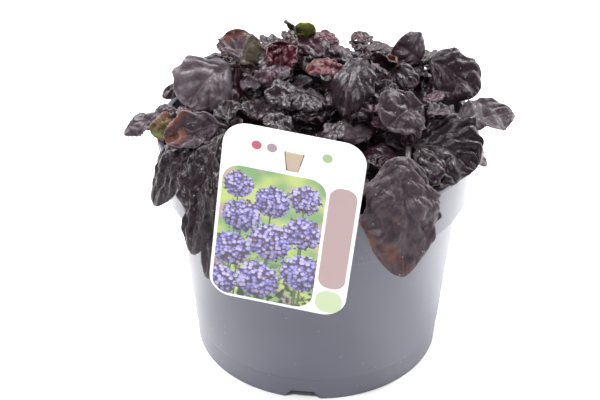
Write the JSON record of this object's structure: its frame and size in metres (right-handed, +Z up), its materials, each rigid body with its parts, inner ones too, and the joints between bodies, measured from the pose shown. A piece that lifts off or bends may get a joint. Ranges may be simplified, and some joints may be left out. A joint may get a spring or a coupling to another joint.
{
  "type": "potted bugleweed",
  "caption": "Low mound of crinkled near-black leaves on short shoots in a round slate-grey nursery pot, with a hook-on picture label in front of the rim",
  "frame": {"origin": "on the ground at the centre of the whole object's box, which is the pot's axis", "axes": "+Z up; the picture label hangs on the -Y side, which is the front; +X is to the right as seen from the front"},
  "size_m": [0.2069, 0.1937, 0.1857],
  "materials": {
    "pot_plastic": "moulded slate-grey plastic with a satin sheen",
    "potting_soil": "dark brown peaty potting soil, matt and crumbly",
    "label_print": "thin white plastic card, printed and slightly glossy",
    "peg_plastic": "plain tan plastic",
    "dark_leaf": "near-black purple-brown leaf, leathery, puckered and shiny"
  },
  "bodies": {
    "root": {"pot": "pot_plastic", "soil": "potting_soil", "label_card": "label_print", "label_peg": "peg_plastic", "shoot_a": "dark_leaf", "shoot_b": "dark_leaf", "shoot_c": "dark_leaf", "shoot_d": "dark_leaf", "shoot_e": "dark_leaf", "shoot_f": "dark_leaf", "shoot_g": "dark_leaf", "shoot_h": "dark_leaf", "shoot_i": "dark_leaf", "shoot_j": "dark_leaf", "shoot_k": "dark_leaf", "shoot_l": "dark_leaf", "shoot_m": "dark_leaf", "shoot_n": "dark_leaf", "shoot_p": "dark_leaf", "shoot_q": "dark_leaf", "shoot_r": "dark_leaf", "shoot_s": "dark_leaf", "shoot_t": "dark_leaf", "shoot_u": "dark_leaf", "shoot_v": "dark_leaf", "shoot_w": "dark_leaf"}
  },
  "joints": []
}
